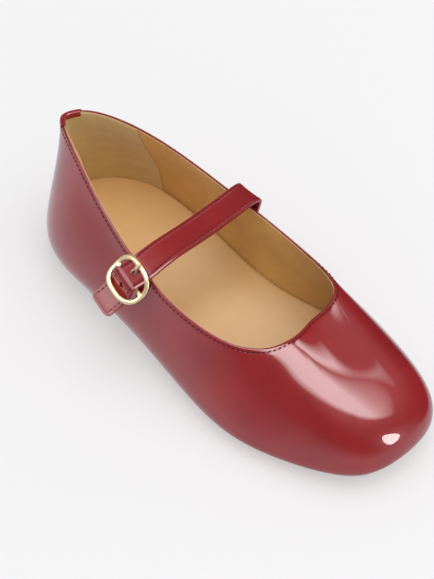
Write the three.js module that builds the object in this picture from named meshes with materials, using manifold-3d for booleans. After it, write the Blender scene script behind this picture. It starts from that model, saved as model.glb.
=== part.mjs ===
// Mary jane shoe for the right foot: a flat patent shoe with a squared toe, a strap and a centre-bar buckle.
// Millimetres, +Z up. The toe points to -Y, the medial (inner) side of the foot is +X and the lateral side is -X.
import * as THREE from "three";
import { mergeVertices } from "three/addons/utils/BufferGeometryUtils.js";
import Module from "manifold-3d";

// Driving dimensions.
const LENGTH = 236; // upper, heel back to toe tip
const BALL_WIDTH = 90; // upper, widest across the ball
const BACK_HEIGHT = 70; // floor to the top of the back
const HEEL_SEAT = 9.5; // floor to the underside of the upper at the heel
const SOLE_THICKNESS = 3;
const TOE_SPRING = 7; // lift of the toe tip off the floor
const WALL = 1.8; // patent leather and lining together
const TURN_RADIUS = 5; // where the upper rolls in under the foot
const LASTING_MARGIN = 9; // how far it runs in past the roll, beneath the insole
const SOLE_INSET = 4.5; // the sole's edge, in from the upper's widest line
const HEEL_BREAST = 0.25; // front of the heel block, share of LENGTH from the heel
const INSOLE_THICKNESS = 4; // board, padding and leather sock
const GAP = 0.3; // between pieces that touch
const STRAP_WIDTH = 14.6;
const STRAP_THICKNESS = 1.6;
const TAB_WIDTH = 9.5;
const TAB_THICKNESS = 0.8;
const RING_LENGTH = 20; // of the buckle, outside, along the strap
const RING_BREADTH = 24; // outside, across it
const RING_WIDTH = 2.6; // of its band, seen from the front
const RING_DEPTH = 1.8;
const RING_BOW = 2.4; // rise of its two ends over the bar
const BAR_DIAMETER = 1.6;
const PRONG_DIAMETER = 1.5;

const AROUND = 96; // samples around the upper, from the heel back by the lateral side
const UP_THE_WALL = 8; // steps from the roll to the topline
const ROLL_STEPS = 3;
const ACROSS_THE_SOLE = 5; // steps from side to side

// Height of the upper's underside above the floor, by share of the length from the heel.
function seatHeight(along) {
  const ball = SOLE_THICKNESS + GAP;
  const shank = THREE.MathUtils.smoothstep(along, 0.27, 0.62);
  const spring = Math.max(0, along - 0.78) / 0.22;
  return THREE.MathUtils.lerp(HEEL_SEAT, ball, shank) + TOE_SPRING * spring ** 2;
}

// One row for each section around the upper. along and across place its widest line just above the sole, and rimAlong
// and rimAcross the topline: shares of LENGTH from the heel and of half the BALL_WIDTH, lateral negative. rimHeight is
// a share of BACK_HEIGHT. rise and swell place the wall's lower handle, in millimetres above and outside the roll.
// reach is the share of the way back over the widest line, and drop the millimetres below the topline, where the
// wall's upper handle stands.
const COLUMNS = ["at", "along", "across", "rimAlong", "rimAcross", "rimHeight", "rise", "swell", "reach", "drop"];
const SECTIONS = [
  ["heel back", 0.0, 0.0, 0.01, 0.0, 0.96, 17, -3, 0.18, 17],
  ["heel corner, lateral", 0.01, -0.38, 0.03, -0.18, 1.03, 17, -2, 0.18, 15],
  ["heel, lateral", 0.08, -0.76, 0.12, -0.34, 1.0, 16, 0, 0.19, 13],
  ["heel breast, lateral", 0.19, -0.89, 0.23, -0.53, 0.89, 15, 5, 0.2, 12],
  ["waist, lateral", 0.34, -0.86, 0.35, -0.67, 0.76, 12, 9, 0.2, 10],
  ["rear joint, lateral", 0.49, -0.93, 0.47, -0.76, 0.7, 9, 7, 0.2, 10],
  ["joint, lateral", 0.63, -1.03, 0.57, -0.73, 0.65, 7, 3, 0.22, 11],
  ["fore joint, lateral", 0.73, -1.02, 0.66, -0.63, 0.65, 6, 0, 0.34, 12],
  ["toe side, lateral", 0.83, -0.84, 0.71, -0.44, 0.69, 10, -1, 0.5, 10],
  ["toe corner, lateral", 0.935, -0.61, 0.72, -0.28, 0.7, 17, 0, 0.59, 8],
  ["toe, lateral", 0.985, -0.35, 0.72, -0.12, 0.66, 20, 0, 0.62, 8],
  ["toe tip", 0.995, 0.06, 0.71, 0.04, 0.61, 20, 1, 0.62, 8],
  ["toe, medial", 0.985, 0.47, 0.7, 0.19, 0.59, 20, 3, 0.62, 8],
  ["toe corner, medial", 0.945, 0.71, 0.7, 0.4, 0.6, 19, 4, 0.6, 7],
  ["toe side, medial", 0.85, 0.88, 0.69, 0.6, 0.63, 15, 4, 0.54, 9],
  ["fore joint, medial", 0.73, 1.01, 0.66, 0.76, 0.62, 10, 2, 0.37, 10],
  ["joint, medial", 0.63, 0.88, 0.57, 0.79, 0.64, 9, 3, 0.28, 10],
  ["rear joint, medial", 0.5, 0.68, 0.47, 0.74, 0.72, 11, 5, 0.2, 10],
  ["waist, medial", 0.38, 0.7, 0.37, 0.68, 0.78, 13, 6, 0.2, 10],
  ["heel breast, medial", 0.22, 0.75, 0.24, 0.6, 0.87, 16, 4, 0.2, 12],
  ["heel, medial", 0.11, 0.72, 0.14, 0.4, 1.0, 17, 0, 0.2, 13],
  ["heel corner, medial", 0.02, 0.36, 0.05, 0.17, 1.04, 17, -3, 0.18, 15],
].map((row) => Object.fromEntries(row.map((value, i) => [COLUMNS[i], value])));

const UP = new THREE.Vector3(0, 0, 1);

function planPoint(along, across, height) {
  return new THREE.Vector3((across * BALL_WIDTH) / 2, (0.5 - along) * LENGTH, height);
}

// Share of the length from the heel at a point.
function alongOf(point) {
  return 0.5 - point.y / LENGTH;
}

// Point on the closed uniform cubic B-spline of the given control points, t from 0 to 1.
function closedSpline(points, t) {
  const n = points.length;
  const s = (((t % 1) + 1) % 1) * n;
  const i = Math.floor(s);
  const f = s - i;
  const weights = [
    (1 - f) ** 3 / 6,
    (3 * f ** 3 - 6 * f ** 2 + 4) / 6,
    (-3 * f ** 3 + 3 * f ** 2 + 3 * f + 1) / 6,
    f ** 3 / 6,
  ];
  const made = new THREE.Vector3();
  weights.forEach((w, k) => made.addScaledVector(points[(i + k - 1 + n) % n], w));
  return made;
}

const widestControls = SECTIONS.map((s) => planPoint(s.along, s.across, 0));
const rimControls = SECTIONS.map((s) => planPoint(s.rimAlong, s.rimAcross, s.rimHeight * BACK_HEIGHT));
// The handles' own numbers ride in vectors, so that they blend as the points do.
const lowerControls = SECTIONS.map((s) => new THREE.Vector3(s.rise, s.swell, 0));
const upperControls = SECTIONS.map((s) => new THREE.Vector3(s.reach, s.drop, 0));

// Plan direction that points out of the shoe at t, where t runs once around from the heel back by the lateral side.
function outwardAt(t) {
  const step = 0.001;
  const tangent = closedSpline(widestControls, t + step).sub(closedSpline(widestControls, t - step));
  return new THREE.Vector3(tangent.y, -tangent.x, 0).normalize();
}

// Point under the upper at t, inset from its widest line and lifted above its underside.
function seatPoint(t, inset, lift = 0) {
  const point = closedSpline(widestControls, t).addScaledVector(outwardAt(t), -inset);
  point.z = seatHeight(alongOf(point)) + lift;
  return point;
}

// One section of the upper's outer face, from under the foot, round the roll and up the wall to the topline.
function sectionAt(t) {
  const [rise, swell] = closedSpline(lowerControls, t).toArray();
  const [reach, drop] = closedSpline(upperControls, t).toArray();
  const out = outwardAt(t);
  const rim = closedSpline(rimControls, t);
  // The roll turns until it points along the wall's lower handle, so the two meet smoothly.
  const turn = Math.atan2(rise, swell);
  const onRoll = (angle) => seatPoint(t, TURN_RADIUS * (1 - Math.sin(angle)), TURN_RADIUS * (1 - Math.cos(angle)));
  const points = [seatPoint(t, TURN_RADIUS + LASTING_MARGIN), seatPoint(t, TURN_RADIUS + LASTING_MARGIN / 2)];
  for (let k = 0; k < ROLL_STEPS; k++) points.push(onRoll((turn * k) / ROLL_STEPS));
  const foot = onRoll(turn);
  const lower = foot.clone().addScaledVector(UP, rise).addScaledVector(out, swell);
  const upper = rim.clone().lerp(new THREE.Vector3(foot.x, foot.y, rim.z), reach).addScaledVector(UP, -drop);
  return points.concat(new THREE.CubicBezierCurve3(foot, lower, upper, rim).getPoints(UP_THE_WALL));
}

function geometryOf(points, triangles) {
  return new THREE.BufferGeometry()
    .setAttribute("position", new THREE.Float32BufferAttribute(points.flatMap((p) => p.toArray()), 3))
    .setIndex(triangles);
}

// Closed shell of the given thickness, from a grid of outer points, rows around and columns up, by its own normals.
function shellGeometry(outer, thickness) {
  const rows = outer.length;
  const levels = outer[0].length;
  const at = (i, j) => outer[(i + rows) % rows][THREE.MathUtils.clamp(j, 0, levels - 1)];
  const inner = outer.map((row, i) =>
    row.map((point, j) => {
      const around = at(i + 1, j).clone().sub(at(i - 1, j));
      const up = at(i, j + 1).clone().sub(at(i, j - 1));
      return point.clone().addScaledVector(up.cross(around).normalize(), thickness);
    }),
  );
  const index = (face, i, j) => (face * rows + ((i + rows) % rows)) * levels + j;
  const triangles = [];
  const quad = (a, b, c, d) => triangles.push(a, b, c, a, c, d);
  const top = levels - 1;
  for (let i = 0; i < rows; i++) {
    for (let j = 0; j < top; j++) {
      quad(index(0, i, j), index(0, i + 1, j), index(0, i + 1, j + 1), index(0, i, j + 1));
      quad(index(1, i, j), index(1, i, j + 1), index(1, i + 1, j + 1), index(1, i + 1, j));
    }
    quad(index(0, i + 1, 0), index(0, i, 0), index(1, i, 0), index(1, i + 1, 0));
    quad(index(0, i, top), index(0, i + 1, top), index(1, i + 1, top), index(1, i, top));
  }
  return geometryOf([...outer.flat(), ...inner.flat()], triangles);
}

// Closed slab that follows the underside of the upper. Each edge line, from the top face's down to the bottom face's,
// is given by its inset and its lift, and the faces are laddered from the lateral side across to the medial.
function slabGeometry(edges) {
  const rings = edges.map(({ inset, lift }) =>
    Array.from({ length: AROUND }, (_, i) => seatPoint(i / AROUND, inset, lift)),
  );
  const points = rings.flat();
  const triangles = [];
  const half = AROUND / 2;
  for (let k = 0; k < edges.length - 1; k++) {
    for (let i = 0; i < AROUND; i++) {
      const [a, b] = [k * AROUND + i, k * AROUND + ((i + 1) % AROUND)];
      triangles.push(a, a + AROUND, b + AROUND, a, b + AROUND, b);
    }
  }
  for (const k of [0, edges.length - 1]) {
    const inside = points.length;
    for (let i = 1; i < half; i++) {
      for (let c = 1; c < ACROSS_THE_SOLE; c++) {
        const point = rings[k][i].clone().lerp(rings[k][AROUND - i], c / ACROSS_THE_SOLE);
        point.z = seatHeight(alongOf(point)) + edges[k].lift;
        points.push(point);
      }
    }
    const index = (i, c) => {
      if (i === 0 || i === half || c === 0) return k * AROUND + i;
      return c === ACROSS_THE_SOLE ? k * AROUND + AROUND - i : inside + (i - 1) * (ACROSS_THE_SOLE - 1) + c - 1;
    };
    for (let i = 0; i < half; i++) {
      for (let c = 0; c < ACROSS_THE_SOLE; c++) {
        const corners = [index(i, c), index(i + 1, c), index(i + 1, c + 1), index(i, c + 1)];
        if (k > 0) corners.reverse();
        const [a, b, d, e] = corners;
        if (new Set([a, b, d]).size === 3) triangles.push(a, b, d);
        if (new Set([a, d, e]).size === 3) triangles.push(a, d, e);
      }
    }
  }
  return geometryOf(points, triangles);
}

// Solid swept by a section along stations { centre, side, lift }. The section's points are [along side, along lift],
// anticlockwise seen from the stations' far end. A closed sweep has no ends.
function sweptGeometry(stations, section, closed = false) {
  const points = stations.flatMap(({ centre, side, lift }) =>
    section.map(([s, l]) => centre.clone().addScaledVector(side, s).addScaledVector(lift, l)),
  );
  const m = section.length;
  const n = stations.length;
  const triangles = [];
  for (let i = 0; i < (closed ? n : n - 1); i++) {
    for (let j = 0; j < m; j++) {
      const [a, b] = [i * m + j, i * m + ((j + 1) % m)];
      const [c, d] = [((i + 1) % n) * m + j, ((i + 1) % n) * m + ((j + 1) % m)];
      triangles.push(a, b, d, a, d, c);
    }
  }
  if (!closed) {
    for (let j = 1; j < m - 1; j++) {
      triangles.push(0, j + 1, j, (n - 1) * m, (n - 1) * m + j, (n - 1) * m + j + 1);
    }
  }
  return geometryOf(points, triangles);
}

function roundSection(width, height, sides) {
  return Array.from({ length: sides }, (_, i) => {
    const angle = (2 * Math.PI * i) / sides;
    return [(Math.cos(angle) * width) / 2, (Math.sin(angle) * height) / 2];
  });
}

// Flat band with its four long edges taken off.
function bandSection(width, thickness, chamfer) {
  const [w, t] = [width / 2, thickness / 2];
  return [
    [w, chamfer - t],
    [w, t - chamfer],
    [w - chamfer, t],
    [chamfer - w, t],
    [-w, t - chamfer],
    [-w, chamfer - t],
    [chamfer - w, -t],
    [w - chamfer, -t],
  ];
}

// Stations along a route with its own side direction at each share u of the way.
function stationsAlong(route, count, sideAt) {
  return Array.from({ length: count + 1 }, (_, i) => {
    const u = i / count;
    const tangent = route.getTangentAt(u);
    const side = sideAt(u);
    side.addScaledVector(tangent, -side.dot(tangent)).normalize();
    return { centre: route.getPointAt(u), side, lift: tangent.clone().cross(side).normalize() };
  });
}

const wasm = await Module();
wasm.setup();

const WELD = 1e-4; // points this close are one

function solidOf(geometry) {
  const bare = geometry.clone();
  bare.deleteAttribute("normal");
  bare.deleteAttribute("uv");
  const merged = mergeVertices(bare, WELD);
  const vertProperties = merged.attributes.position.array;
  return new wasm.Manifold(new wasm.Mesh({ numProp: 3, vertProperties, triVerts: merged.index.array }));
}

function geometryFrom(solid) {
  const { vertProperties, triVerts } = solid.getMesh();
  return new THREE.BufferGeometry()
    .setAttribute("position", new THREE.BufferAttribute(vertProperties, 3))
    .setIndex(new THREE.BufferAttribute(triVerts, 1));
}

const shoe = new THREE.Group();

function addPiece(name, geometry, material) {
  const mesh = new THREE.Mesh(geometry, material);
  mesh.name = name;
  shoe.add(mesh);
}

const patent = { color: 0x8c1f28, roughness: 0.12, metalness: 0 };
const sockLeather = { color: 0xd0a574, roughness: 0.6, metalness: 0 };
const soleRubber = { color: 0x8a6242, roughness: 0.7, metalness: 0 };
const heelStack = { color: 0x5d4030, roughness: 0.7, metalness: 0 };
const paleBrass = { color: 0xe8cf96, roughness: 0.25, metalness: 1 };

// Upper.
const sections = Array.from({ length: AROUND }, (_, i) => sectionAt(i / AROUND));
addPiece("upper", shellGeometry(sections, WALL), new THREE.MeshStandardMaterial(patent));

// Outsole: its top follows the upper's underside, its bottom edge is eased.
const EDGE_EASE = 0.8;
const soleTop = -GAP;
const soleBottom = soleTop - SOLE_THICKNESS;
const outsoleEdges = [
  { inset: SOLE_INSET, lift: soleTop },
  { inset: SOLE_INSET, lift: soleBottom + EDGE_EASE },
  { inset: SOLE_INSET + EDGE_EASE, lift: soleBottom },
];
addPiece("outsole", slabGeometry(outsoleEdges), new THREE.MeshStandardMaterial(soleRubber));

// Insole: it fills the cup that the roll makes, a gap away from it.
const cupRadius = TURN_RADIUS - WALL - GAP;
const cupInset = (lift) => TURN_RADIUS - Math.sqrt(cupRadius ** 2 - Math.min(0, lift - TURN_RADIUS) ** 2);
const insoleTop = WALL + GAP + INSOLE_THICKNESS;
const SOCK_EASE = 0.6;
const INSOLE_LIFTS = [insoleTop - SOCK_EASE, 4, 3, WALL + GAP];
const insoleEdges = [
  { inset: cupInset(insoleTop) + SOCK_EASE, lift: insoleTop },
  ...INSOLE_LIFTS.map((lift) => ({ inset: cupInset(lift) + GAP, lift })),
];
addPiece("insole", slabGeometry(insoleEdges), new THREE.MeshStandardMaterial(sockLeather));

// Heel block: the sole's outline behind a straight breast, tapering a little to the floor.
const HEEL_TAPER = 1.2;
const heelHeight = HEEL_SEAT + soleBottom - GAP;
const heelOutline = [];
for (let i = -AROUND / 2; i < AROUND / 2; i++) {
  const point = seatPoint(i / AROUND, SOLE_INSET + EDGE_EASE);
  if (alongOf(point) < HEEL_BREAST) heelOutline.push(new THREE.Vector2(point.x, point.y));
}
const breastY = (0.5 - HEEL_BREAST) * LENGTH;
const heelEnds = [heelOutline[0], heelOutline.at(-1)].map((p) => new THREE.Vector2(p.x, breastY));
const heelShape = new THREE.Shape([heelEnds[0], ...heelOutline, heelEnds[1]]);
const heelGeometry = new THREE.ExtrudeGeometry(heelShape, { depth: heelHeight, bevelEnabled: false });
const heelCentre = new THREE.Vector2(0, (breastY + LENGTH / 2) / 2);
const heelPosition = heelGeometry.attributes.position;
for (let i = 0; i < heelPosition.count; i++) {
  if (heelPosition.getZ(i) > 0) continue;
  const shrunk = new THREE.Vector2(heelPosition.getX(i), heelPosition.getY(i)).sub(heelCentre);
  shrunk.setLength(shrunk.length() - HEEL_TAPER).add(heelCentre);
  heelPosition.setXY(i, shrunk.x, shrunk.y);
}
addPiece("heel", geometryFrom(solidOf(heelGeometry)), new THREE.MeshStandardMaterial(heelStack));

// Buckle frame at the bar: along runs down the strap to its free end, across to the toe side, and off away from the
// shoe.
const BUCKLE_SLOPE = THREE.MathUtils.degToRad(36); // down from level
const BUCKLE_YAW = THREE.MathUtils.degToRad(18); // its lower end towards the heel
const BUCKLE_ROLL = THREE.MathUtils.degToRad(-12); // its toe side lower
const TOWARDS_TOE = new THREE.Vector3(0, -1, 0);
const BAR_CENTRE = new THREE.Vector3(-38.4, 24.4, 49.2);
const along = new THREE.Vector3(-1, 0, 0)
  .applyAxisAngle(TOWARDS_TOE, BUCKLE_SLOPE)
  .applyAxisAngle(UP, -BUCKLE_YAW);
const across = new THREE.Vector3(-Math.sin(BUCKLE_YAW), -Math.cos(BUCKLE_YAW), 0).applyAxisAngle(along, BUCKLE_ROLL);
const off = along.clone().cross(across);

function inBuckle(s, w, h) {
  return BAR_CENTRE.clone().addScaledVector(along, s).addScaledVector(across, w).addScaledVector(off, h);
}

const ringHalf = (RING_LENGTH - RING_WIDTH) / 2;
const barHalf = (RING_BREADTH - RING_WIDTH) / 2;
const wrapRadius = BAR_DIAMETER / 2 + GAP + TAB_THICKNESS / 2;
const overBar = wrapRadius + (TAB_THICKNESS + STRAP_THICKNESS) / 2 + 1.5 * GAP;
const underRing = RING_BOW - (RING_DEPTH + STRAP_THICKNESS) / 2 - 2 * GAP;
const halfOver = (underRing + overBar) / 2;

// Strap: its centre line by hand, from the end sewn to the medial quarter, over the foot, then through the buckle.
const ROUTE_COLUMNS = ["at", "x", "y", "z"];
const ROUTE = [
  ["sewn end", 34.1, 24, 37.5],
  ["on the quarter", 33.8, 23.2, 43],
  ["standing off", 34.9, 22, 50],
  ["bend", 35, 21, 55.4],
  ["over the topline", 32.2, 20.5, 57.5],
  ["medial", 18, 20, 57.8],
  ["middle", 0, 20, 57.6],
  ["lateral", -20, 20.4, 58],
].map((row) => Object.fromEntries(row.map((value, i) => [ROUTE_COLUMNS[i], value])));
// Then through the buckle: how far along it, and how far off the bar.
const BUCKLED = [
  [-ringHalf, underRing],
  [-0.76 * ringHalf, underRing],
  [-0.38 * ringHalf, halfOver],
  [0, overBar],
  [0.38 * ringHalf, halfOver],
  [0.76 * ringHalf, underRing],
  [ringHalf, underRing],
  [ringHalf + 5, 0.3],
  [ringHalf + 10.6, 1.5],
];
const strapRoute = new THREE.CatmullRomCurve3([
  ...ROUTE.map(({ x, y, z }) => new THREE.Vector3(x, y, z)),
  ...BUCKLED.map(([s, h]) => inBuckle(s, 0, h)),
]);
const STRAP_STEPS = 72;
const STRAP_EASE = 0.4;
// It twists from lying square to the shoe to lying square to the buckle between these shares of its length.
const STRAP_TWIST = [0.45, 0.75];
const strapSide = (u) => TOWARDS_TOE.clone().lerp(across, THREE.MathUtils.smoothstep(u, ...STRAP_TWIST));
const strapBand = sweptGeometry(
  stationsAlong(strapRoute, STRAP_STEPS, strapSide),
  bandSection(STRAP_WIDTH, STRAP_THICKNESS, STRAP_EASE),
);

// Straight round pin between two points.
function pinGeometry(from, to, diameter, sides) {
  const stations = stationsAlong(new THREE.LineCurve3(from, to), 1, () => new THREE.Vector3(0, 0.6, 0.8));
  return sweptGeometry(stations, roundSection(diameter, diameter, sides));
}
// Holes in the free end: the prong's is worn long, the spare one is round.
const HOLE_DIAMETER = 2.2;
const HOLE_SIDES = 16;
const HOLE_WEAR = 1.1;
const PRONG_HOLE = -5;
const SPARE_HOLE = 3.8;
const [below, above] = [underRing - 2 * STRAP_THICKNESS, overBar + 2 * STRAP_THICKNESS];
let strap = solidOf(strapBand);
for (const s of [PRONG_HOLE - HOLE_WEAR, PRONG_HOLE, PRONG_HOLE + HOLE_WEAR, SPARE_HOLE]) {
  const cutter = pinGeometry(inBuckle(s, 0, below), inBuckle(s, 0, above), HOLE_DIAMETER, HOLE_SIDES);
  strap = strap.subtract(solidOf(cutter));
}
addPiece("strap", geometryFrom(strap), new THREE.MeshStandardMaterial(patent));

// Buckle: a bowed ring of rounded-square outline, with its bar across the middle.
const RING_SQUARENESS = 2.7;
const RING_STEPS = 40;
const RING_SIDES = 8;
const BAR_SIDES = 10;
const ringRoute = new THREE.CatmullRomCurve3(
  Array.from({ length: RING_STEPS }, (_, i) => {
    const angle = (2 * Math.PI * (i + 0.5)) / RING_STEPS;
    const shaped = (value) => Math.sign(value) * Math.abs(value) ** (2 / RING_SQUARENESS);
    const s = shaped(Math.cos(angle));
    return inBuckle(s * ringHalf, shaped(Math.sin(angle)) * barHalf, RING_BOW * Math.abs(s) ** 1.5);
  }),
  true,
);
const ringStations = stationsAlong(ringRoute, RING_STEPS, () => off.clone()).slice(0, RING_STEPS);
const ring = solidOf(sweptGeometry(ringStations, roundSection(RING_DEPTH, RING_WIDTH, RING_SIDES), true));
const bar = solidOf(pinGeometry(inBuckle(0, -barHalf, 0), inBuckle(0, barHalf, 0), BAR_DIAMETER, BAR_SIDES));
addPiece("buckle", geometryFrom(ring.add(bar)), new THREE.MeshStandardMaterial(paleBrass));

// Prong: it hooks under the bar, comes up through the strap and rests on the ring's instep side. Along and off.
const eye = BAR_DIAMETER / 2 + GAP + PRONG_DIAMETER / 2;
const onRing = RING_BOW + (RING_DEPTH + PRONG_DIAMETER) / 2 + GAP;
const PRONG = [
  [eye * 0.97, eye * 0.2],
  [eye * 0.7, -eye * 0.75],
  [0, -eye],
  [-2, -1.4],
  [-4, -0.5],
  [PRONG_HOLE - 0.5, 1.3],
  [-ringHalf + 1.2, onRing - 0.2],
  [-ringHalf, onRing],
  [-ringHalf - 1.6, onRing - 0.1],
];
const prongRoute = new THREE.CatmullRomCurve3(PRONG.map(([s, h]) => inBuckle(s, 0, h)));
const PRONG_STEPS = 24;
const prongStations = stationsAlong(prongRoute, PRONG_STEPS, () => across.clone());
const prongSection = roundSection(PRONG_DIAMETER, PRONG_DIAMETER, RING_SIDES);
addPiece("buckle_prong", sweptGeometry(prongStations, prongSection), new THREE.MeshStandardMaterial(paleBrass));

// Tab that holds the buckle: sewn to the lateral quarter, it rises to the bar, wraps it and turns back on itself.
const TAB_ROUTE = [
  ["sewn end", -41.2, 25.6, 27.5],
  ["on the quarter", -39.9, 25.4, 33],
  ["leaving it", -38.6, 25.1, 38],
  ["rising", -37.6, 24.7, 43.4],
].map((row) => Object.fromEntries(row.map((value, i) => [ROUTE_COLUMNS[i], value])));
const WRAP_ANGLES = [-100, -140, 180, 140, 100, 60]; // around the bar, in degrees
const TAB_TAIL = inBuckle(2.1, 0, 0.3);
const tabRoute = new THREE.CatmullRomCurve3([
  ...TAB_ROUTE.map(({ x, y, z }) => new THREE.Vector3(x, y, z)),
  ...WRAP_ANGLES.map(THREE.MathUtils.degToRad).map((angle) =>
    inBuckle(wrapRadius * Math.cos(angle), 0, wrapRadius * Math.sin(angle)),
  ),
  TAB_TAIL,
]);
const TAB_STEPS = 32;
const TAB_EASE = 0.2;
const TAB_TWIST = [0.2, 0.6];
const tabSide = (u) => TOWARDS_TOE.clone().lerp(across, THREE.MathUtils.smoothstep(u, ...TAB_TWIST));
const tabBand = sweptGeometry(
  stationsAlong(tabRoute, TAB_STEPS, tabSide),
  bandSection(TAB_WIDTH, TAB_THICKNESS, TAB_EASE),
);
// A slot in the wrap lets the prong out.
const SLOT_WIDTH = 2.3;
const SLOT_DEPTH = 7;
const slotRoute = new THREE.LineCurve3(inBuckle(-2 * wrapRadius, 0, 0), inBuckle(3 * wrapRadius, 0, 0));
const slotStations = stationsAlong(slotRoute, 1, () => across.clone());
const slot = solidOf(sweptGeometry(slotStations, bandSection(SLOT_WIDTH, SLOT_DEPTH, TAB_EASE)));
const tab = solidOf(tabBand).subtract(slot);
addPiece("buckle_tab", geometryFrom(tab), new THREE.MeshStandardMaterial(patent));

// The origin is the middle of the whole shoe, at the floor.
const whole = new THREE.Box3().setFromObject(shoe);
const centre = whole.getCenter(new THREE.Vector3());
shoe.traverse((piece) => {
  if (piece.isMesh) piece.geometry.translate(-centre.x, -centre.y, -whole.min.z);
});

export default shoe;
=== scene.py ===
"""Mary jane shoe for the right foot, in red patent leather.

Metres. The toe points to -Y, the medial side of the foot is +X and the lateral side is -X.
"""

import math
import random

import bmesh
import bpy
from mathutils import Matrix, Vector
from mathutils.bvhtree import BVHTree
from mathutils.kdtree import KDTree


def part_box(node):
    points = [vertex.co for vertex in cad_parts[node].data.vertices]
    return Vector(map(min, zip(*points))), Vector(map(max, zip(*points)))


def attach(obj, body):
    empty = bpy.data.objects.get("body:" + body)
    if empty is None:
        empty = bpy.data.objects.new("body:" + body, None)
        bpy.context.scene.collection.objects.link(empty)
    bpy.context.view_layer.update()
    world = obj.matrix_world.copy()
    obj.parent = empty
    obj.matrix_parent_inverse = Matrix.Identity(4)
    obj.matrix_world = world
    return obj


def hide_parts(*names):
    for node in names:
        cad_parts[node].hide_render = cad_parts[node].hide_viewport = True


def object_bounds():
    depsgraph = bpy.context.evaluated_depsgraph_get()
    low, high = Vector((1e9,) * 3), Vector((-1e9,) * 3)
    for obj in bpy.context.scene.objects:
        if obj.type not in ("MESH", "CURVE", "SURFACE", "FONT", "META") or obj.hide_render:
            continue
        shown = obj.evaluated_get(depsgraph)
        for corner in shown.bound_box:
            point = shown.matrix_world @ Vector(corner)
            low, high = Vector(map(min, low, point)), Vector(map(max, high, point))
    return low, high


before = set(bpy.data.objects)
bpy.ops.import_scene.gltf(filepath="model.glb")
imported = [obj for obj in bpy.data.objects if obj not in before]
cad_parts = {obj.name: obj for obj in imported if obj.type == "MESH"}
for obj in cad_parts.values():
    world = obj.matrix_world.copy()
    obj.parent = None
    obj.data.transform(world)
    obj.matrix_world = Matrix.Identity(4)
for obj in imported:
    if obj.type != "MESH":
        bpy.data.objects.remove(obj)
CAD_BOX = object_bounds()

MM = 0.001
PATENT = 1.15 * MM  # patent leather alone
LINING = 0.55 * MM
STRAP_WIDTH = 14.6 * MM
STRAP_INSET = 1.6 * MM  # of its stitches
STRAP_THICKNESS = 1.6 * MM

# From the last's own middle line, which the strap and the camera are placed by, to the frame's.
UPPER_LATERAL, UPPER_BACK = -45.79 * MM, 116.83 * MM  # the upper's outermost points, from that line
UPPER_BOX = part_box("upper")
UNSHIFTED = Vector((UPPER_BOX[0].x - UPPER_LATERAL, UPPER_BOX[1].y - UPPER_BACK, 0))

chance = random.Random(7)


# ---------------------------------------------------------------- materials


GROOVED_BORDER = 5 * MM  # width of the puffed edge with its row of stitches
PAINTED_SHADE_IN_TOE = (-50 * MM, 0)  # y at which the painted shade inside the toe is darkest and at which it is gone
PAINTED_LIGHT_UNDER_HEEL = (30 * MM, 75 * MM)  # y at which the insole's painted light begins and at which it is strongest, under the heel


def linear(red, green, blue):
    """Colour given as 0 to 255, in the linear numbers that a shader takes."""
    def channel(value):
        value /= 255
        return value / 12.92 if value <= 0.04045 else ((value + 0.055) / 1.055) ** 2.4
    return (channel(red), channel(green), channel(blue), 1)


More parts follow.
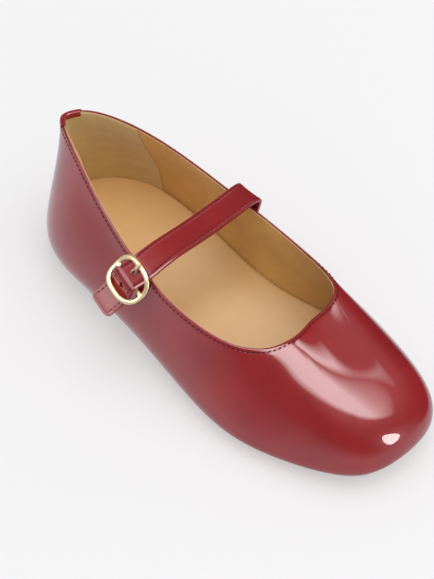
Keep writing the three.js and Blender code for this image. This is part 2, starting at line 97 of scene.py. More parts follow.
class Nodes:
    """A material's node tree, with short ways to add to it."""

    def __init__(self, name):
        self.material = bpy.data.materials.new(name)
        self.material.use_nodes = True
        self.tree = self.material.node_tree
        self.shader = self.tree.nodes["Principled BSDF"]
        self.place = self.add("ShaderNodeTexCoord").outputs["Object"]

    def add(self, kind, links=None, **settings):
        node = self.tree.nodes.new(kind)
        for key, value in settings.items():
            if key in node.inputs.keys():
                node.inputs[key].default_value = value
            else:
                setattr(node, key, value)
        for socket, source in (links or {}).items():
            self.tree.links.new(source, node.inputs[socket])
        return node

    def noise(self, scale, detail, roughness, place=None):
        links = {"Vector": place or self.place}
        node = self.add("ShaderNodeTexNoise", links, Scale=scale, Detail=detail, Roughness=roughness)
        return node.outputs["Fac"]

    def pores(self, scale):
        return self.add("ShaderNodeTexVoronoi", {"Vector": self.place}, Scale=scale).outputs["Distance"]

    def stretched(self, x, y, z):
        node = self.add("ShaderNodeMapping", {"Vector": self.place})
        node.inputs["Scale"].default_value = (x, y, z)
        return node.outputs["Vector"]

    def coordinate(self, axis):
        return self.add("ShaderNodeSeparateXYZ", {0: self.place}).outputs[axis]

    def ramp(self, source, *stops):
        node = self.add("ShaderNodeValToRGB", {"Fac": source})
        ramp = node.color_ramp
        while len(ramp.elements) < len(stops):
            ramp.elements.new(0.5)
        for element, (position, colour) in zip(ramp.elements, stops):
            element.position = position
            element.color = colour if isinstance(colour, tuple) else (colour, colour, colour, 1)
        return node.outputs["Color"]

    def span(self, source, low, high, to_low=0.0, to_high=1.0):
        node = self.add("ShaderNodeMapRange", {"Value": source})
        keys = ("From Min", "From Max", "To Min", "To Max")
        for key, value in zip(keys, (low, high, to_low, to_high)):
            node.inputs[key].default_value = value
        return node.outputs["Result"]

    def math(self, operation, first, second=None):
        node = self.add("ShaderNodeMath", operation=operation)
        for socket, value in zip(node.inputs, (first, second)):
            if isinstance(value, (int, float)):
                socket.default_value = value
            elif value is not None:
                self.tree.links.new(value, socket)
        return node.outputs[0]

    def attribute(self, name):
        return self.add("ShaderNodeAttribute", attribute_name=name).outputs["Fac"]

    def mix(self, factor, first, second):
        node = self.add("ShaderNodeMix", data_type="RGBA")
        for key, value in ((0, factor), (6, first), (7, second)):
            if isinstance(value, (int, float, tuple)):
                node.inputs[key].default_value = value
            else:
                self.tree.links.new(value, node.inputs[key])
        return node.outputs[2]

    def bump(self, height, distance, strength=1.0, normal=None):
        links = {"Height": height}
        if normal is not None:
            links["Normal"] = normal
        node = self.add("ShaderNodeBump", links)
        node.inputs["Distance"].default_value = distance
        node.inputs["Strength"].default_value = strength
        return node.outputs["Normal"]

    def finish(self, **sockets):
        for key, value in sockets.items():
            socket = self.shader.inputs[key.replace("_", " ")]
            if isinstance(value, (int, float, tuple)):
                socket.default_value = value
            else:
                self.tree.links.new(value, socket)
        return self.material


def patent_leather(name, wrinkle=1.0, groove=True):
    """Deep red leather under a clear, hard gloss, with a puffed border, its stitched groove and painted
    shade in that groove.
    """
    n = Nodes(name)
    grain = n.noise(900, 4, 0.6)
    waves = n.noise(38, 2, 0.5)
    peel = n.noise(420, 3, 0.6)
    tone = n.mix(n.span(waves, 0.3, 0.7), linear(142, 29, 33), linear(158, 36, 39))
    colour = n.mix(n.span(grain, 0.35, 0.7, 0, 0.25), tone, linear(118, 20, 28))
    normal = n.bump(waves, 1.2 * MM * wrinkle, 0.12)
    normal = n.bump(peel, 0.14 * MM * wrinkle, 0.32, normal)
    if groove:
        from_edge = n.span(n.attribute("from_edge"), 0, GROOVED_BORDER)
        puffed = n.ramp(from_edge, (0.0, 0.0), (0.2, 0.9), (0.34, 0.75), (0.44, 0.0), (0.56, 0.7),
                        (0.8, 0.85))
        normal = n.bump(puffed, 0.45 * MM, 0.8, normal)
        # painted shade: the stitched groove is darkened where shade gathers in it
        shaded = n.ramp(from_edge, (0.36, 0.0), (0.44, 0.45), (0.52, 0.0))
        colour = n.mix(shaded, colour, linear(70, 10, 18))
    return n.finish(Base_Color=colour, Normal=normal, Roughness=0.35, Specular_IOR_Level=0.15,
                    Coat_Weight=1.0, Coat_Roughness=0.03, Coat_IOR=1.5)


def lining_leather():
    """Smooth tan pigskin: pores, soft mottling, a faint sheen, and painted shade inside the toe."""
    n = Nodes("lining leather")
    mottling = n.noise(55, 4, 0.6)
    pores = n.pores(1400.0)
    colour = n.mix(n.span(mottling, 0.3, 0.7), linear(206, 160, 86), linear(224, 180, 104))
    # painted shade: the lining is darkened towards the toe, where the toe box shades it
    colour = n.mix(n.span(n.coordinate("Y"), *PAINTED_SHADE_IN_TOE, 0.5, 0), colour, linear(150, 100, 40))
    colour = n.mix(n.span(pores, 0.0, 0.25, 0.22, 0), colour, linear(160, 112, 54))
    normal = n.bump(pores, 0.06 * MM, 0.5)
    return n.finish(Base_Color=colour, Normal=normal, Roughness=0.5, Sheen_Weight=0.1)


def counter_suede():
    """Khaki suede of the heel grip: short nap with brushed, lighter and darker patches."""
    n = Nodes("counter suede")
    nap = n.noise(2200, 3, 0.7)
    brushed = n.noise(60, 4, 0.6, n.stretched(1, 1, 2.5))
    colour = n.mix(n.span(brushed, 0.3, 0.7), linear(202, 172, 106), linear(216, 188, 120))
    colour = n.mix(n.span(nap, 0.35, 0.65, 0, 0.3), colour, linear(176, 148, 92))
    normal = n.bump(nap, 0.12 * MM, 0.7)
    return n.finish(Base_Color=colour, Normal=normal, Roughness=0.92, Sheen_Weight=0.35,
                    Sheen_Roughness=0.5)


def raw_edge():
    """Cut edge of the lining: pale peach, fibrous."""
    n = Nodes("lining raw edge")
    fibres = n.noise(1500, 3, 0.6)
    colour = n.mix(n.span(fibres, 0.3, 0.7), linear(214, 158, 122), linear(232, 182, 146))
    return n.finish(Base_Color=colour, Normal=n.bump(fibres, 0.08 * MM, 0.5), Roughness=0.75)


def sock_leather():
    """Light tan leather of the insole, polished a little in patches, with painted light making it paler
    under the heel.
    """
    n = Nodes("sock leather")
    mottling = n.noise(26, 4, 0.55)
    pores = n.pores(1100.0)
    colour = n.mix(n.span(mottling, 0.3, 0.7), linear(216, 172, 112), linear(230, 188, 130))
    # painted light: the insole is made paler towards the heel, to lift the shade of the heel cup
    colour = n.mix(n.span(n.coordinate("Y"), *PAINTED_LIGHT_UNDER_HEEL, 0, 0.8), colour, linear(250, 206, 140))
    colour = n.mix(n.span(pores, 0.0, 0.2, 0.18, 0), colour, linear(170, 124, 76))
    roughness = n.span(mottling, 0.3, 0.7, 0.42, 0.52)
    return n.finish(Base_Color=colour, Normal=n.bump(pores, 0.05 * MM, 0.4), Roughness=roughness)


def sole_rubber():
    """Brown composition sole: fine pebble, scuffed lighter here and there."""
    n = Nodes("outsole")
    pebble = n.pores(620.0)
    scuffs = n.noise(70, 5, 0.7, n.stretched(2.5, 0.6, 1))
    colour = n.mix(n.span(scuffs, 0.45, 0.75), linear(126, 92, 66), linear(158, 122, 92))
    normal = n.bump(pebble, 0.15 * MM, 0.5)
    return n.finish(Base_Color=colour, Normal=normal, Roughness=n.span(scuffs, 0.3, 0.8, 0.55, 0.8))


def heel_stack():
    """Dark brown block of stacked board: thin level layers, waxed."""
    n = Nodes("heel block")
    layers = n.add("ShaderNodeTexWave", {"Vector": n.place}, bands_direction="Z", Scale=260.0,
                   Distortion=0.6, Detail=2.0).outputs["Fac"]
    speckle = n.noise(420, 3, 0.6)
    colour = n.mix(n.span(layers, 0.2, 0.8), linear(82, 58, 42), linear(108, 80, 60))
    colour = n.mix(n.span(speckle, 0.4, 0.75, 0, 0.35), colour, linear(60, 42, 32))
    return n.finish(Base_Color=colour, Normal=n.bump(layers, 0.12 * MM, 0.4), Roughness=0.55)


def pale_brass():
    """Pale gold plate, polished, with hairline wear."""
    n = Nodes("pale brass")
    hairlines = n.noise(900, 2, 0.5, n.stretched(1, 6, 1))
    tone = n.noise(90, 2, 0.5)
    colour = n.mix(n.span(tone, 0.3, 0.7), linear(240, 216, 168), linear(248, 228, 184))
    roughness = n.span(hairlines, 0.3, 0.7, 0.26, 0.36)
    return n.finish(Base_Color=colour, Metallic=0.6, Roughness=roughness,
                    Normal=n.bump(hairlines, 0.02 * MM, 0.3))


def red_thread():
    """Twisted sewing thread, dark red."""
    n = Nodes("dark red thread")
    twist = n.noise(3200, 2, 0.5)
    mixed = n.mix(n.span(twist, 0.3, 0.7), linear(78, 12, 20), linear(112, 20, 32))
    return n.finish(Base_Color=mixed, Normal=n.bump(twist, 0.05 * MM, 0.6), Roughness=0.8,
                    Specular_IOR_Level=0.15)


PATENT_RED = patent_leather("red patent leather")
STRAP_RED = patent_leather("red patent strap", 0.8)
TAB_RED = patent_leather("red patent tab", 0.8, groove=False)
LINING_TAN = lining_leather()
SUEDE = counter_suede()
RAW_EDGE = raw_edge()
SOCK = sock_leather()
BRASS = pale_brass()
RED_THREAD = red_thread()
STRAP_EDGE = patent_leather("strap cut edge", 0.5, groove=False)


# ---------------------------------------------------------------- making pieces


def pick(piece):
    bpy.ops.object.select_all(action="DESELECT")
    piece.select_set(True)
    bpy.context.view_layer.objects.active = piece


def apply_modifiers(piece):
    pick(piece)
    for modifier in list(piece.modifiers):
        bpy.ops.object.modifier_apply(modifier=modifier.name)


def new_piece(name, mesh, *materials):
    piece = bpy.data.objects.new(name, mesh)
    bpy.context.scene.collection.objects.link(piece)
    mesh.materials.clear()
    for material in materials:
        mesh.materials.append(material)
    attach(piece, "root")
    return piece


def copy_of_node(node, name, *materials):
    """A copy of a CAD node, its loose triangles joined and turned back to quads."""
    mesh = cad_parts[node].data.copy()
    piece = new_piece(name, mesh, *materials)
    pick(piece)
    bpy.ops.object.mode_set(mode="EDIT")
    bpy.ops.mesh.select_all(action="SELECT")
    bpy.ops.mesh.remove_doubles(threshold=1e-6)
    bpy.ops.mesh.customdata_custom_splitnormals_clear()
    bpy.ops.mesh.tris_convert_to_quads(face_threshold=math.radians(50),
                                       shape_threshold=math.radians(60))
    bpy.ops.object.mode_set(mode="OBJECT")
    for layer in list(mesh.uv_layers):
        mesh.uv_layers.remove(layer)
    return piece


def subdivide(piece, levels):
    modifier = piece.modifiers.new("smooth", "SUBSURF")
    modifier.levels = modifier.render_levels = levels
    apply_modifiers(piece)
    smooth(piece)


def smooth(piece, angle=None):
    pick(piece)
    if angle is None:
        bpy.ops.object.shade_smooth()
    else:
        bpy.ops.object.shade_smooth_by_angle(angle=math.radians(angle))


def bevel(piece, width, segments, angle):
    modifier = piece.modifiers.new("edge", "BEVEL")
    modifier.width, modifier.segments = width, segments
    modifier.limit_method = "ANGLE"
    modifier.angle_limit = math.radians(angle)
    apply_modifiers(piece)


def solidify(piece, thickness, offset, rim_slot=0):
    modifier = piece.modifiers.new("wall", "SOLIDIFY")
    modifier.thickness, modifier.offset = thickness, offset
    modifier.use_even_offset = True
    modifier.material_offset_rim = rim_slot
    apply_modifiers(piece)


# ---------------------------------------------------------------- paths and stitches


STITCH_BELOW_EDGE = 2.2 * MM
STITCH_PITCH = 2.5 * MM
STITCH_SLANT = 8  # degrees
TOPLINE_STITCH = (1.75 * MM, 0.75 * MM, 0.5 * MM)  # length, width and height
STRAP_STITCH = (1.6 * MM, 0.6 * MM, 0.4 * MM)
DISTANCE_STEP = 0.4 * MM  # between the points that distances from a line are taken to


def borders(piece):
    """The open edges of a sheet, each an ordered list of (point, direction into the sheet)."""
    mesh = bmesh.new()
    mesh.from_mesh(piece.data)
    left = {v for v in mesh.verts if any(e.is_boundary for e in v.link_edges)}
    loops = []
    while left:
        vertex = left.pop()
        loop = [vertex]
        while True:
            beyond = [e.other_vert(loop[-1]) for e in loop[-1].link_edges if e.is_boundary]
            ahead = [v for v in beyond if v in left]
            if not ahead:
                break
            left.discard(ahead[0])
            loop.append(ahead[0])
        inner = [next(e.other_vert(v) for e in v.link_edges if not e.is_boundary) for v in loop]
        loops.append([(v.co.copy(), (w.co - v.co).normalized()) for v, w in zip(loop, inner)])
    mesh.free()
    return sorted(loops, key=lambda loop: sum(point.z for point, _ in loop) / len(loop))


def walk(points, pitch):
    """Points about every pitch along a closed line of points, each with its direction."""
    ring = points + points[:1]
    lengths = [(b - a).length for a, b in zip(ring, ring[1:])]
    count = round(sum(lengths) / pitch)
    step = sum(lengths) / count
    made, index, passed = [], 0, 0.0
    for k in range(count):
        target = k * step
        while passed + lengths[index] < target:
            passed += lengths[index]
            index += 1
        tangent = (ring[index + 1] - ring[index]).normalized()
        made.append((ring[index] + tangent * (target - passed), tangent))
    return made


def surface_of(piece):
    """Search tree of a finished piece, for laying things on it."""
    mesh = bmesh.new()
    mesh.from_mesh(piece.data)
    tree = BVHTree.FromBMesh(mesh)
    mesh.free()
    return tree


def stitch_mesh(size):
    """One stitch: a short bead of thread, longest along X, its top towards Z."""
    bpy.ops.object.select_all(action="DESELECT")
    bpy.ops.mesh.primitive_uv_sphere_add(segments=8, ring_count=6, radius=0.5)
    bead = bpy.context.active_object
    bpy.ops.object.mode_set(mode="EDIT")
    bpy.ops.mesh.select_all(action="SELECT")
    bpy.ops.transform.rotate(value=math.pi / 2, orient_axis="Y", center_override=(0, 0, 0))
    bpy.ops.transform.resize(value=size, center_override=(0, 0, 0))
    bpy.ops.object.mode_set(mode="OBJECT")
    mesh = bead.data.copy()
    bpy.data.objects.remove(bead)
    return mesh


def stitches(name, places, size):
    """A row of stitches of one size, a bead at each (point, direction, normal)."""
    bead = stitch_mesh(size)
    row = bmesh.new()
    for point, tangent, normal in places:
        side = normal.cross(tangent).normalized()
        frame_here = Matrix((tangent, side, normal)).transposed().to_4x4()
        turn = Matrix.Rotation(math.radians(STITCH_SLANT + chance.uniform(-2, 2)), 4, "Z")
        before = len(row.verts)
        row.from_mesh(bead)
        row.verts.ensure_lookup_table()
        placed = Matrix.Translation(point) @ frame_here @ turn
        bmesh.ops.transform(row, matrix=placed, verts=row.verts[before:])
    mesh = bpy.data.meshes.new(name)
    row.to_mesh(mesh)
    row.free()
    bpy.data.meshes.remove(bead)
    piece = new_piece(name, mesh, RED_THREAD)
    smooth(piece)
    return piece


def distances(piece, name, line):
    """Stores how far each point of a piece is from a line of points, in metres, for its material."""
    dense = [point for point, _ in walk(line, DISTANCE_STEP)]
    tree = KDTree(len(dense))
    for index, point in enumerate(dense):
        tree.insert(point, index)
    tree.balance()
    layer = piece.data.attributes.new(name, "FLOAT", "POINT")
    for vertex in piece.data.vertices:
        layer.data[vertex.index].value = tree.find(vertex.co)[2]


# ---------------------------------------------------------------- upper


INSIDE_LINE_HEIGHT = 22 * MM  # of the line along the hollow that inside and outside are judged from
INSIDE_LINE_HALF = 88 * MM
WALL_EDGE_ANGLE = math.radians(55)  # sharper than any fold of the skins

# Fullness added to the inner half of the vamp. Each range goes from none to all of it.
FULLNESS_AT, FULLNESS_WIDTH, FULLNESS_RISE = 11 * MM, 12 * MM, 3.0 * MM
FULLNESS_FROM_TOE = (-100 * MM, -52 * MM)
FULLNESS_FROM_WAIST = (0, -45 * MM)
FULLNESS_UP_THE_WALL = (15 * MM, 28 * MM)


def faces_outwards(centre, normal):
    core = Vector((0, max(-INSIDE_LINE_HALF, min(INSIDE_LINE_HALF, centre.y)), INSIDE_LINE_HEIGHT))
    return normal.dot(centre - core) > 0


def between(value, start, end):
    """How far a value has come from start to end, as a share from 0 to 1."""
    return min(1.0, max(0.0, (value - start) / (end - start)))


def fill_vamp(piece):
    """Rounds out the inner half of the vamp, most at the throat and not at all at the toe."""
    for vertex in piece.data.vertices:
        x, y, z = vertex.co
        aside = (x - FULLNESS_AT) / FULLNESS_WIDTH
        share = between(y, *FULLNESS_FROM_TOE) * between(y, *FULLNESS_FROM_WAIST)
        share *= between(z, *FULLNESS_UP_THE_WALL)
        vertex.co.z += FULLNESS_RISE * share * math.exp(-aside * aside / 2)


def skin_of_upper(name, outer, *materials):
    """One skin of the CAD upper's wall, as an open sheet from the topline to the lasting margin."""
    piece = copy_of_node("upper", name, *materials)
    mesh = bmesh.new()
    mesh.from_mesh(piece.data)
    folds = (e for e in mesh.edges if len(e.link_faces) == 2)
    creased = {e for e in folds if e.calc_face_angle(0) > WALL_EDGE_ANGLE}
    rims = [f for f in mesh.faces if sum(e in creased for e in f.edges) >= 2]
    bmesh.ops.delete(mesh, geom=rims, context="FACES")
    other = [f for f in mesh.faces if faces_outwards(f.calc_center_median(), f.normal) != outer]
    bmesh.ops.delete(mesh, geom=other, context="FACES")
    mesh.to_mesh(piece.data)
    mesh.free()
    fill_vamp(piece)
    return piece


def patent_upper():
    """The patent leather, with each point's distance from the topline. Also returns its rim."""
    piece = skin_of_upper("patent_upper", True, PATENT_RED)
    rim = borders(piece)[1]
    solidify(piece, PATENT, offset=-1)
    subdivide(piece, 2)
    distances(piece, "from_edge", [point for point, _ in rim])
    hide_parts("upper")
    return piece, rim


def quarter_lining():
    piece = skin_of_upper("quarter_lining", False, LINING_TAN, RAW_EDGE)
    solidify(piece, LINING, offset=-1, rim_slot=1)
    subdivide(piece, 1)


patent, rim = patent_upper()
quarter_lining()

STITCH_LIFT = 0.04 * MM


def topline_stitches():
    surface = surface_of(patent)
    below = [point + down * STITCH_BELOW_EDGE for point, down in rim]
    places = []
    for point, tangent in walk(below, STITCH_PITCH):
        where, normal, _, _ = surface.find_nearest(point)
        tangent = (tangent - normal * tangent.dot(normal)).normalized()
        places.append((where + normal * STITCH_LIFT, tangent, normal))
    stitches("topline_stitches", places, TOPLINE_STITCH)


topline_stitches()

HEEL_GRIP_FRONT = 81 * MM
HEEL_GRIP_THICKNESS = 0.6 * MM


def heel_grip():
    """Suede lining of the heel, laid over the leather lining behind an upright edge."""
    piece = skin_of_upper("heel_grip", False, SUEDE)
    pick(piece)
    bpy.ops.object.mode_set(mode="EDIT")
    bpy.ops.mesh.select_all(action="SELECT")
    bpy.ops.mesh.bisect(plane_co=(0, HEEL_GRIP_FRONT, 0), plane_no=(0, 1, 0), clear_inner=True)
    bpy.ops.object.mode_set(mode="OBJECT")
    solidify(piece, HEEL_GRIP_THICKNESS, offset=1)
    subdivide(piece, 1)


heel_grip()

HEEL_TAB_POINTS = 4  # how many of the topline's points it spans on each side of the back, at most
HEEL_TAB_HALF = 14.5 * MM  # how far aside of the back those points may lie
# Its section over the topline, from the outside over to the inside: outwards and up, in millimetres.
HEEL_TAB_SECTION = [(0.1, -3.2), (0.16, -1.8), (0.16, -0.5), (-0.1, 0.12), (-0.9, 0.25), (-1.9, 0.1),
                    (-2.35, -0.4), (-2.45, -1.4), (-2.5, -2.8)]
HEEL_TAB_THICKNESS = 0.3 * MM


def heel_tab():
    """Small patent tab folded over the topline at the heel back, to finish it."""
    back = max(range(len(rim)), key=lambda k: rim[k][0].y)
    near = [rim[(back + k) % len(rim)] for k in range(-HEEL_TAB_POINTS, HEEL_TAB_POINTS + 1)]
    stations = [(p, d) for p, d in near if abs(p.x - rim[back][0].x) <= HEEL_TAB_HALF]
    mesh = bmesh.new()
    rows = []
    for index, (point, down) in enumerate(stations):
        ahead = stations[min(index + 1, len(stations) - 1)][0] - stations[max(index - 1, 0)][0]
        outward = ahead.cross(down).normalized()
        if outward.y < 0:
            outward.negate()
        rows.append([mesh.verts.new(point + outward * (a * MM) - down * (b * MM))
                     for a, b in HEEL_TAB_SECTION])
    for one, two in zip(rows, rows[1:]):
        for k in range(len(HEEL_TAB_SECTION) - 1):
            mesh.faces.new((one[k], one[k + 1], two[k + 1], two[k]))
    bmesh.ops.recalc_face_normals(mesh, faces=mesh.faces)
    made = bpy.data.meshes.new("heel_tab")
    mesh.to_mesh(made)
    mesh.free()
    piece = new_piece("heel_tab", made, TAB_RED)
    solidify(piece, HEEL_TAB_THICKNESS, offset=0)
    subdivide(piece, 2)


heel_tab()


# ---------------------------------------------------------------- strap


BAR_CENTRE = Vector((-38.4, 24.4, 49.2)) * MM + UNSHIFTED
BUCKLE_SLOPE, BUCKLE_YAW, BUCKLE_ROLL = math.radians(36), math.radians(18), math.radians(-12)
TOWARDS_TOE = Vector((0, -1, 0))
ALONG = Vector((-1, 0, 0))
ALONG.rotate(Matrix.Rotation(BUCKLE_SLOPE, 3, TOWARDS_TOE))
ALONG.rotate(Matrix.Rotation(-BUCKLE_YAW, 3, "Z"))
ACROSS = Vector((-math.sin(BUCKLE_YAW), -math.cos(BUCKLE_YAW), 0))
ACROSS.rotate(Matrix.Rotation(BUCKLE_ROLL, 3, ALONG))
OFF = ALONG.cross(ACROSS)
RING_HALF = 8.7 * MM
OVER_BAR, UNDER_RING = 2.8 * MM, 0.05 * MM
PRONG_HOLE, SPARE_HOLE = (-5 * MM, 0, 1.2 * MM), (3.8 * MM, 0, 2 * MM)  # along, across and off the bar

# The strap's middle line over the foot, from the end sewn to the medial quarter: x, y and z.
STRAP_ROUTE = [(34.1, 24, 37.5), (33.8, 23.2, 43), (34.9, 22, 50), (35, 21, 55.4), (32.2, 20.5, 57.5),
               (18, 20, 57.8), (0, 20, 57.6), (-20, 20.4, 58)]
# Then through the buckle, by how far along it and how far off the bar.
STRAP_BUCKLED = [(share * RING_HALF, UNDER_RING + (OVER_BAR - UNDER_RING) * over)
                 for share, over in ((-1, 0), (-0.75, 0.04), (-0.5, 0.37), (-0.25, 0.8), (0, 1),
                                     (0.25, 0.8), (0.5, 0.37), (0.75, 0.04), (1, 0))]
STRAP_BUCKLED += [(RING_HALF + 5 * MM, 0.3 * MM), (RING_HALF + 10.6 * MM, 1.5 * MM)]
TURNS_TO_BUCKLE = (0.6, 0.76)  # where it turns to lie square to the buckle, as shares of its length


def in_buckle(along, across, off):
    return BAR_CENTRE + ALONG * along + ACROSS * across + OFF * off


def smooth_route(points, steps=24):
    """Centripetal curve through the points, as a dense line of points."""
    whole = [points[0] * 2 - points[1], *points, points[-1] * 2 - points[-2]]
    line = []
    for a, b, c, d in zip(whole, whole[1:], whole[2:], whole[3:]):
        first, middle, last = ((q - p).length ** 0.5 for p, q in ((a, b), (b, c), (c, d)))
        leave = ((b - a) / first - (c - a) / (first + middle) + (c - b) / middle) * middle
        arrive = ((c - b) / middle - (d - b) / (middle + last) + (d - c) / last) * middle
        for k in range(steps):
            t = k / steps
            line.append(b * (2 * t ** 3 - 3 * t ** 2 + 1) + leave * (t ** 3 - 2 * t ** 2 + t)
                        + c * (3 * t ** 2 - 2 * t ** 3) + arrive * (t ** 3 - t ** 2))
    return [*line, points[-1]]


class Route:
    """The strap's middle line by length, with the directions across it and up from it."""

    def __init__(self, points):
        self.points = smooth_route(points)
        self.marks = [0.0]
        for a, b in zip(self.points, self.points[1:]):
            self.marks.append(self.marks[-1] + (b - a).length)
        self.length = self.marks[-1]

    def at(self, length):
        low, high = 0, len(self.marks) - 1
        while high - low > 1:
            middle = (low + high) // 2
            low, high = (middle, high) if self.marks[middle] <= length else (low, middle)
        tangent = (self.points[high] - self.points[low]).normalized()
        point = self.points[low] + tangent * (length - self.marks[low])
        blend = between(length / self.length, *TURNS_TO_BUCKLE)
        side = TOWARDS_TOE.lerp(ACROSS, blend * blend * (3 - 2 * blend))
        side = (side - tangent * side.dot(tangent)).normalized()
        return point, side, tangent.cross(side)

    def nearest(self, point):
        return self.marks[min(range(len(self.points)), key=lambda k: (self.points[k] - point).length)]


STRAP = Route([Vector(point) * MM + UNSHIFTED for point in STRAP_ROUTE]
              + [in_buckle(along, 0, off) for along, off in STRAP_BUCKLED])

WRINKLES_AT, WRINKLES_WIDTH, WRINKLE_HEIGHT = 7 * MM, 5 * MM, 0.16 * MM
STRAP_CORNER = 2.6 * MM  # round of its free end
HOLE_RADIUS = 1.1 * MM
HOLE_WEAR = 2 * MM  # how far the prong has drawn out its hole
SEWN_BOX = (2 * MM, 11 * MM)  # its two cross rows of stitches, from the sewn end
CROSS_ROW_PITCH = 2.4 * MM


def strap_wrinkles(x, y):
    """Cross wrinkles of the strap where it is sewn to the medial quarter."""
    sewn = math.exp(-((y - WRINKLES_AT) / WRINKLES_WIDTH) ** 2)
    ripple = math.sin(y / (0.42 * MM) + 1.3 * math.sin(x / (2.4 * MM)))
    return WRINKLE_HEIGHT * sewn * ripple


def lay_along_strap(piece):
    """Bends a piece that is modelled flat, x across and y along, onto the strap's route."""
    for vertex in piece.data.vertices:
        x, y, z = vertex.co
        point, side, lift = STRAP.at(y)
        vertex.co = point + side * x + lift * (z + strap_wrinkles(x, y))


def flat_strap():
    half, length = STRAP_WIDTH / 2, STRAP.length
    bpy.ops.object.select_all(action="DESELECT")
    bpy.ops.mesh.primitive_grid_add(x_subdivisions=14, y_subdivisions=150, size=1)
    piece = bpy.context.active_object
    piece.name = piece.data.name = "strap_band"
    bpy.ops.object.mode_set(mode="EDIT")
    bpy.ops.transform.resize(value=(STRAP_WIDTH, length, 1), center_override=(0, 0, 0))
    bpy.ops.transform.translate(value=(0, length / 2, 0))
    bpy.ops.object.mode_set(mode="OBJECT")
    for vertex in piece.data.vertices:
        past = vertex.co.y - (length - STRAP_CORNER)
        if past > 0:
            room = half - STRAP_CORNER + math.sqrt(max(0, STRAP_CORNER ** 2 - past ** 2))
            vertex.co.x *= room / half
    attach(piece, "root")
    piece.data.materials.append(STRAP_RED)
    piece.data.materials.append(STRAP_EDGE)
    solidify(piece, STRAP_THICKNESS, offset=0, rim_slot=1)
    return piece


def punch(piece, y, length):
    """A hole through the flat strap, round or drawn out along it."""
    bpy.ops.object.select_all(action="DESELECT")
    bpy.ops.mesh.primitive_cylinder_add(vertices=24, radius=HOLE_RADIUS, depth=6 * MM,
                                        location=(0, y, 0))
    cutter = bpy.context.active_object
    for vertex in cutter.data.vertices:
        vertex.co.y += math.copysign(length / 2, vertex.co.y)
    cut = piece.modifiers.new("hole", "BOOLEAN")
    cut.operation, cut.solver, cut.object = "DIFFERENCE", "EXACT", cutter
    apply_modifiers(piece)
    bpy.data.objects.remove(cutter)


def strap():
    piece = flat_strap()
    layer = piece.data.attributes.new("from_edge", "FLOAT", "POINT")
    for vertex in piece.data.vertices:
        inside = max(0, min(STRAP_WIDTH / 2 - abs(vertex.co.x), STRAP.length - vertex.co.y))
        layer.data[vertex.index].value = inside + STITCH_BELOW_EDGE - STRAP_INSET
    punch(piece, STRAP.nearest(in_buckle(*PRONG_HOLE)), HOLE_WEAR)
    punch(piece, STRAP.nearest(in_buckle(*SPARE_HOLE)), 0)
    bevel(piece, 0.3 * MM, segments=2, angle=50)
    lay_along_strap(piece)
    smooth(piece, angle=38)
    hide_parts("strap")


def strap_stitches():
    """A row along each side of the strap and a sewn box at its medial end."""
    inset, top = STRAP_WIDTH / 2 - STRAP_INSET, STRAP_THICKNESS / 2
    up, forward, sideways = Vector((0, 0, 1)), Vector((0, 1, 0)), Vector((1, 0, 0))
    places = []
    for k in range(int((STRAP.length - 3 * MM) / STITCH_PITCH)):
        y = SEWN_BOX[0] + k * STITCH_PITCH
        places += [(Vector((x, y, top)), forward, up) for x in (-inset, inset)]
    for y in SEWN_BOX:
        places += [(Vector((k * CROSS_ROW_PITCH, y, top)), sideways, up) for k in range(-2, 3)]
    lay_along_strap(stitches("strap_stitches", places, STRAP_STITCH))


strap()
strap_stitches()


# ---------------------------------------------------------------- buckle, tab, insole, sole and heel


def finished_copy(node, name, levels, material, angle=None, kind="CATMULL_CLARK"):
    """A smooth stand-in for a CAD node, in its own finish."""
    piece = copy_of_node(node, name, material)
    modifier = piece.modifiers.new("smooth", "SUBSURF")
    modifier.subdivision_type = kind
    modifier.levels = modifier.render_levels = levels
    apply_modifiers(piece)
    smooth(piece, angle)
    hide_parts(node)
    return piece


finished_copy("buckle", "buckle_ring", 2, BRASS)
finished_copy("buckle_prong", "prong", 1, BRASS)
bar_tab = finished_copy("buckle_tab", "bar_tab", 1, TAB_RED, angle=40, kind="SIMPLE")
finished_copy("insole", "sock", 1, SOCK, angle=45)

TAB_SHOULDER = 37 * MM
TAB_TUCK = Vector((0.26, 0.1, 0.68))  # for each millimetre below the shoulder


def tuck_tab(piece):
    """Draws the tab's sewn end up the quarter, out of sight behind the buckle."""
    for vertex in piece.data.vertices:
        vertex.co += TAB_TUCK * max(0.0, TAB_SHOULDER - vertex.co.z)


tuck_tab(bar_tab)


def bottom_piece(node, name, material, rounding):
    piece = copy_of_node(node, name, material)
    bevel(piece, rounding, segments=3, angle=35)
    smooth(piece, angle=35)
    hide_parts(node)


bottom_piece("outsole", "sole", sole_rubber(), 0.35 * MM)
bottom_piece("heel", "heel_block", heel_stack(), 0.5 * MM)


# ---------------------------------------------------------------- stage, light and camera


def studio_floor():
    bpy.ops.object.select_all(action="DESELECT")
    bpy.ops.mesh.primitive_plane_add(size=12)
    floor = bpy.context.active_object
    floor.name = "floor"
    n = Nodes("pale floor")
    n.finish(Base_Color=(0.52, 0.52, 0.525, 1), Roughness=0.9, Specular_IOR_Level=0.0,
             Emission_Color=(1, 1, 1, 1), Emission_Strength=0.4)
    floor.data.materials.append(n.material)
    floor.visible_glossy = False


def area_light(name, at, aim, width, height, radiance):
    data = bpy.data.lights.new(name, "AREA")
    data.shape, data.size, data.size_y = "RECTANGLE", width, height
    data.energy = radiance * math.pi * width * height
    light = bpy.data.objects.new(name, data)
    light.location = at
    light.rotation_mode = "QUATERNION"
    light.rotation_quaternion = (Vector(aim) - Vector(at)).to_track_quat("-Z", "Y")
    bpy.context.scene.collection.objects.link(light)
    return light


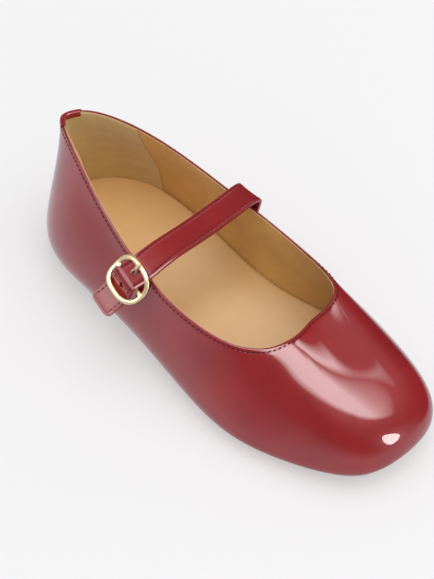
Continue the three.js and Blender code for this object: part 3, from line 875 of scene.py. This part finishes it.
def reflected_panel(name, centre, turn, width, height, colour, fade):
    """A panel with soft edges, seen only in reflections.

    turn is in degrees, and fade is a share of its half size.
    """
    bpy.ops.object.select_all(action="DESELECT")
    bpy.ops.mesh.primitive_plane_add(size=2)
    panel = bpy.context.active_object
    panel.name = name
    panel.scale = (width / 2, height / 2, 1)
    panel.location = centre
    panel.rotation_euler = [math.radians(angle) for angle in turn]
    panel.visible_camera = panel.visible_diffuse = panel.visible_shadow = False
    n = Nodes(name + " glow")
    shares = [n.span(n.math("ABSOLUTE", n.coordinate(axis)), 1 - fade, 1, 1, 0) for axis in "XY"]
    glow = n.add("ShaderNodeEmission")
    glow.inputs["Color"].default_value = (*colour, 1)
    clear = n.add("ShaderNodeBsdfTransparent")
    links = {"Fac": n.math("MULTIPLY", *shares), 1: clear.outputs[0], 2: glow.outputs[0]}
    blend = n.add("ShaderNodeMixShader", links)
    n.tree.links.new(blend.outputs[0], n.tree.nodes["Material Output"].inputs["Surface"])
    panel.data.materials.append(n.material)


# Brightness of the reflected room by height, from straight down at 0 to straight up at 1.
ROOM_LEVELS = [(0.0, 0.6), (0.35, 1.0), (0.47, 0.6), (0.59, 0.16), (0.75, 0.06)]
ROOM_TINT = (0.96, 0.95, 1)
FILL_LIGHT = (0.68, 0.67, 0.675, 1)


def studio_world():
    """Even fill light. Reflections see a darker room over a pale ground, softly parted."""
    world = bpy.data.worlds.new("studio")
    world.use_nodes = True
    tree = world.node_tree
    background = tree.nodes["Background"]
    direction = tree.nodes.new("ShaderNodeTexCoord")
    parts = tree.nodes.new("ShaderNodeSeparateXYZ")
    tree.links.new(direction.outputs["Generated"], parts.inputs[0])
    height = tree.nodes.new("ShaderNodeMapRange")
    height.inputs["From Min"].default_value = -1
    tree.links.new(parts.outputs["Z"], height.inputs["Value"])
    room = tree.nodes.new("ShaderNodeValToRGB")
    tree.links.new(height.outputs["Result"], room.inputs["Fac"])
    while len(room.color_ramp.elements) < len(ROOM_LEVELS):
        room.color_ramp.elements.new(0.5)
    for element, (position, level) in zip(room.color_ramp.elements, ROOM_LEVELS):
        element.position = position
        element.color = (*(level * share for share in ROOM_TINT), 1)
    path = tree.nodes.new("ShaderNodeLightPath")
    strength = tree.nodes.new("ShaderNodeMix")
    strength.data_type = "RGBA"
    tree.links.new(path.outputs["Is Glossy Ray"], strength.inputs[0])
    strength.inputs[6].default_value = FILL_LIGHT
    tree.links.new(room.outputs["Color"], strength.inputs[7])
    tree.links.new(strength.outputs[2], background.inputs["Color"])
    bpy.context.scene.world = world


SHOE_MIDDLE = (0, 0, 0.03)
TOE_TIP = Vector((-0.001, -0.112, 0.025))
SPOT_DIRECTION, SPOT_AWAY = Vector((0.27, -0.9, 0.33)).normalized(), 1.2
# Name, centre, turn, width, height, colour and fade.
PANELS = [("soft box", (0.03, -0.07, 1.14), (0, 0, -17), 1.9, 0.74, (8.8, 8.6, 8.6), 0.3),
          ("second soft box", (1.38, 0.04, 1.14), (0, 0, 25), 0.8, 0.22, (8.0, 7.8, 7.8), 0.35),
          ("side box", (-0.72, 0.68, 0.85), (0, -43, -42), 0.95, 0.95, (3.4, 3.4, 3.4), 0.35),
          ("dark flag", (0.10, -0.06, 0.06), (90, 0, 90), 0.32, 0.14, (0.05, 0.003, 0.005), 0.3)]


def studio_light():
    studio_world()
    overhead = area_light("overhead", at=(0.25, -0.8, 2.0), aim=SHOE_MIDDLE, width=2.6, height=2.6,
                          radiance=1.2)
    overhead.visible_glossy = False
    for panel in PANELS:
        reflected_panel(*panel)
    spot = area_light("toe spot", at=TOE_TIP + SPOT_DIRECTION * SPOT_AWAY, aim=TOE_TIP, width=0.36,
                      height=0.72, radiance=12.0)
    spot.data.shape = "ELLIPSE"
    spot.visible_diffuse = False


CAMERA_AT = Vector((-371.3, -434.7, 711.5)) * MM + UNSHIFTED
CAMERA_LENS = 117.0
CAMERA_ROLL = 3.3  # degrees


def camera():
    lo, hi = CAD_BOX
    data = bpy.data.cameras.new("camera")
    data.lens = CAMERA_LENS
    eye = bpy.data.objects.new("camera", data)
    eye.location = CAMERA_AT
    eye.rotation_mode = "QUATERNION"
    aim = ((lo + hi) / 2 - CAMERA_AT).to_track_quat("-Z", "Y")
    eye.rotation_quaternion = aim @ Matrix.Rotation(math.radians(-CAMERA_ROLL), 4, "Z").to_quaternion()
    bpy.context.scene.collection.objects.link(eye)
    bpy.context.scene.camera = eye


studio_floor()
studio_light()
camera()
bpy.context.scene.view_settings.view_transform = "Standard"
